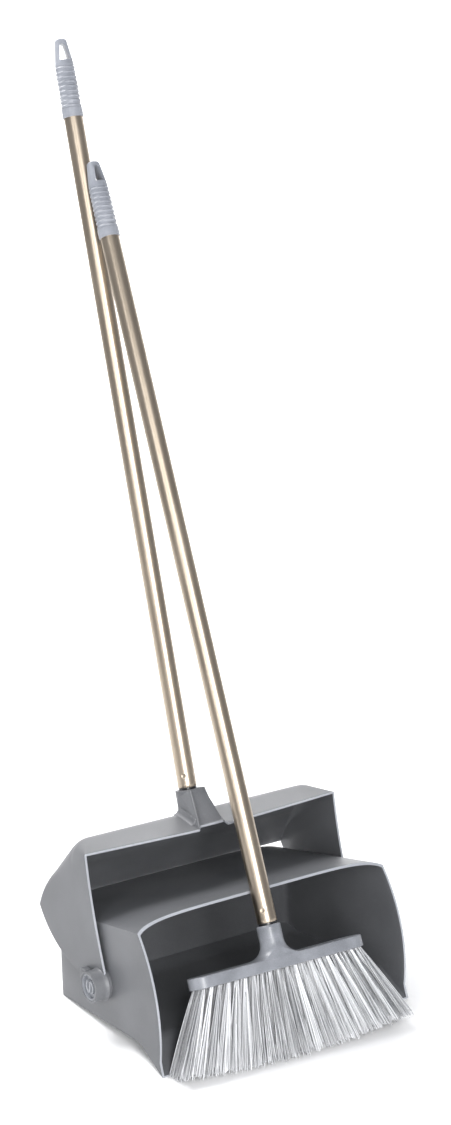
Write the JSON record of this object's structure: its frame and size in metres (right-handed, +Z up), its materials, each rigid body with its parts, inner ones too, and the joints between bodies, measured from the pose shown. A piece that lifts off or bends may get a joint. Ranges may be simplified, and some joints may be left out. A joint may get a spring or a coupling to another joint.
{
  "type": "dustpan and broom set",
  "caption": "Upright lobby dustpan with a hooded swing pan on a tube handle, and an upright broom with a moulded head and flared bristles leaning on it.",
  "frame": {"origin": "on the floor, at the middle of the flat strip under the pan's lip", "axes": "+Z up, +Y from the pan's mouth to its back, +X across the pan to the right of someone who faces the mouth"},
  "size_m": [0.367, 0.5393, 1.0543],
  "materials": {
    "pan_plastic": "satin moulded polypropylene, dark grey",
    "grip_plastic": "semi-gloss moulded plastic, light blue-grey with fine grain",
    "head_plastic": "semi-gloss moulded plastic, light blue-grey with fine grain",
    "tube_metal": "satin champagne anodised aluminium",
    "plug_plastic": "glossy black moulded plastic",
    "bristle_fibre": "glossy straight plastic filaments, light grey, ragged flagged ends",
    "anchor_wire": "flat plated steel wire"
  },
  "bodies": {
    "broom": {"broom_head": "head_plastic", "bristles_row_1": "bristle_fibre", "bristles_row_2": "bristle_fibre", "bristles_row_3": "bristle_fibre", "bristles_row_4": "bristle_fibre", "tuft_anchors": "anchor_wire", "broom_handle_plug": "plug_plastic", "broom_handle_tube": "tube_metal", "broom_handle_grip": "grip_plastic"},
    "hood": {"hood": "pan_plastic", "pan_handle_plug": "plug_plastic", "pan_handle_tube": "tube_metal", "pan_handle_grip": "grip_plastic"},
    "pan": {"pan": "pan_plastic", "pivot_pin_left": "head_plastic", "pivot_pin_right": "head_plastic"}
  },
  "joints": [
    {"name": "dustpan_lift", "type": "slide", "parent": "broom", "child": "hood", "axis": [0, 0.7071, 0.7071], "range_m": [0, 0.5]},
    {"name": "pan_swing", "type": "hinge", "parent": "hood", "child": "pan", "pos_m": [0, 0.122, 0.058], "axis": [-1, 0, 0], "range_deg": [0, 124]}
  ],
  "couplings": [
    {"joint": "pan_swing", "follows": "dustpan_lift", "rad_per_m": 4.3283}
  ]
}
